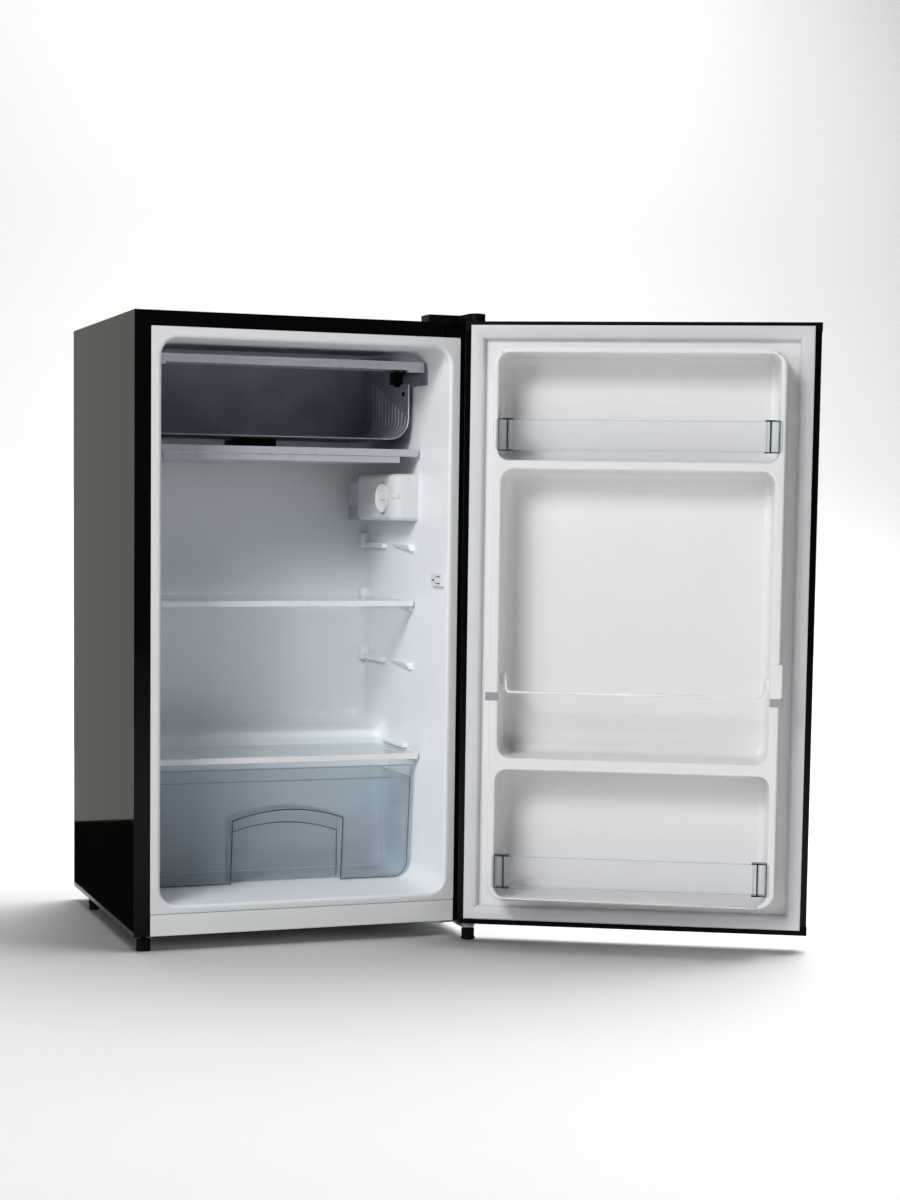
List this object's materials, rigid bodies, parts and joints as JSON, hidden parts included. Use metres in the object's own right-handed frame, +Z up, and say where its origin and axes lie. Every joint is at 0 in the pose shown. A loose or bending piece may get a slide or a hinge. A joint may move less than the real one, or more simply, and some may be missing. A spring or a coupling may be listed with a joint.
{
  "type": "mini fridge",
  "caption": "Compact single-door fridge with a freezer box and flap, drip tray, glass shelf, crisper drawer and a door with racks.",
  "frame": {"origin": "on the floor, below the middle of the cabinet's front face", "axes": "+Z up, +Y from the front into the cabinet, +X towards the door's hinges; the door is stored open by 152.5 degrees"},
  "size_m": [0.8691, 0.7131, 0.845],
  "materials": {
    "black_steel": "gloss",
    "black_sheet": "satin",
    "zinc_sheet": "satin",
    "foam": "matte",
    "white_liner": "satin",
    "white_plastic": "satin",
    "tray_plastic": "satin",
    "knob_plastic": "gloss",
    "compressor_paint": "satin",
    "black_rubber": "matte",
    "black_plastic": "satin",
    "copper": "satin",
    "black_tube": "satin",
    "aluminium": "satin",
    "zinc_steel": "satin",
    "black_foam": "matte",
    "grey_plastic": "satin",
    "flap_plastic": "satin",
    "lamp_white": "satin",
    "lamp_glass": "gloss",
    "frosted_cover": "satin",
    "clear_glass": "gloss",
    "trim_white": "satin",
    "crisper_plastic": "gloss",
    "nylon": "satin",
    "gasket_vinyl": "satin",
    "magnet": "matte",
    "clear_plastic": "gloss",
    "coated_wire": "gloss"
  },
  "bodies": {
    "cabinet": {"outer_shell": "black_steel", "back_panel": "black_sheet", "bottom_panel": "zinc_sheet", "compressor_bay_panel": "zinc_sheet", "compressor_plate": "zinc_sheet", "insulation_foam": "foam", "inner_liner": "white_liner", "kick_strip": "white_plastic", "compressor": "compressor_paint", "compressor_grommets": "black_rubber", "start_relay": "black_plastic", "refrigerant_pipes": "copper", "filter_drier": "copper", "condenser_coil": "black_tube", "cord_gland": "black_rubber", "evaporator": "aluminium", "evaporator_screws": "zinc_steel", "pipe_sleeve": "black_foam", "flap_brackets": "grey_plastic", "tray_rails": "white_plastic", "thermostat_housing": "white_plastic", "thermostat_body": "grey_plastic", "lamp_holder": "lamp_white", "lamp_bulb": "lamp_glass", "lamp_cover": "frosted_cover", "switch_housing": "white_plastic", "left_foot_socket": "white_plastic", "rear_feet": "black_plastic", "top_hinge_bracket": "zinc_steel", "hinge_screws": "zinc_steel", "top_hinge_cover": "black_plastic", "bottom_hinge_bracket": "zinc_steel", "hinge_washer": "nylon"},
    "door": {"door_skin": "black_steel", "door_top_cap": "black_plastic", "door_bottom_cap": "black_plastic", "door_bushes": "nylon", "door_foam": "foam", "door_liner": "white_liner", "door_gasket": "gasket_vinyl", "gasket_magnets": "magnet", "top_rack_bar": "clear_plastic", "bottom_rack_bar": "clear_plastic", "wire_rail": "coated_wire", "wire_sockets": "grey_plastic"},
    "flap": {"freezer_flap": "flap_plastic"},
    "tray": {"drip_tray": "tray_plastic"},
    "knob": {"thermostat_knob": "knob_plastic"},
    "button": {"switch_button": "knob_plastic"},
    "shelf": {"shelf_glass": "clear_glass", "shelf_trim": "trim_white"},
    "crisper_cover": {"cover_glass": "clear_glass", "cover_trim": "trim_white"},
    "crisper": {"crisper_bin": "crisper_plastic"},
    "left_leg": {"left_foot": "black_plastic"},
    "right_leg": {"right_foot": "black_plastic"}
  },
  "joints": [
    {"name": "door_swing", "type": "hinge", "parent": "cabinet", "child": "door", "pos_m": [0.222, -0.0315, 0.4], "axis": [0, 0, 1], "range_deg": [-152.5, 12.5]},
    {"name": "flap_swing", "type": "hinge", "parent": "cabinet", "child": "flap", "pos_m": [0, 0.1, 0.78], "axis": [1, 0, 0], "range_deg": [-90, 0]},
    {"name": "tray_slide", "type": "slide", "parent": "cabinet", "child": "tray", "axis": [0, -1, 0], "range_m": [0, 0.18]},
    {"name": "shelf_slide", "type": "slide", "parent": "cabinet", "child": "shelf", "axis": [0, -1, 0], "range_m": [0, 0.15]},
    {"name": "cover_slide", "type": "slide", "parent": "cabinet", "child": "crisper_cover", "axis": [0, -1, 0], "range_m": [0, 0.1]},
    {"name": "crisper_slide", "type": "slide", "parent": "cabinet", "child": "crisper", "axis": [0, -1, 0], "range_m": [0, 0.12]},
    {"name": "knob_turn", "type": "hinge", "parent": "cabinet", "child": "knob", "pos_m": [0.16, 0.166, 0.599], "axis": [-1, 0, 0], "range_deg": [-150, 120]},
    {"name": "switch_press", "type": "slide", "parent": "cabinet", "child": "button", "axis": [1, 0, 0], "range_m": [0, 0.0024], "stiffness_N_per_m": 400},
    {"name": "left_leg_turn", "type": "hinge", "parent": "cabinet", "child": "left_leg", "pos_m": [-0.218, 0.014, 0.005], "axis": [0, 0, 1], "continuous": true},
    {"name": "right_leg_turn", "type": "hinge", "parent": "cabinet", "child": "right_leg", "pos_m": [0.222, -0.0315, 0.005], "axis": [0, 0, 1], "continuous": true}
  ]
}
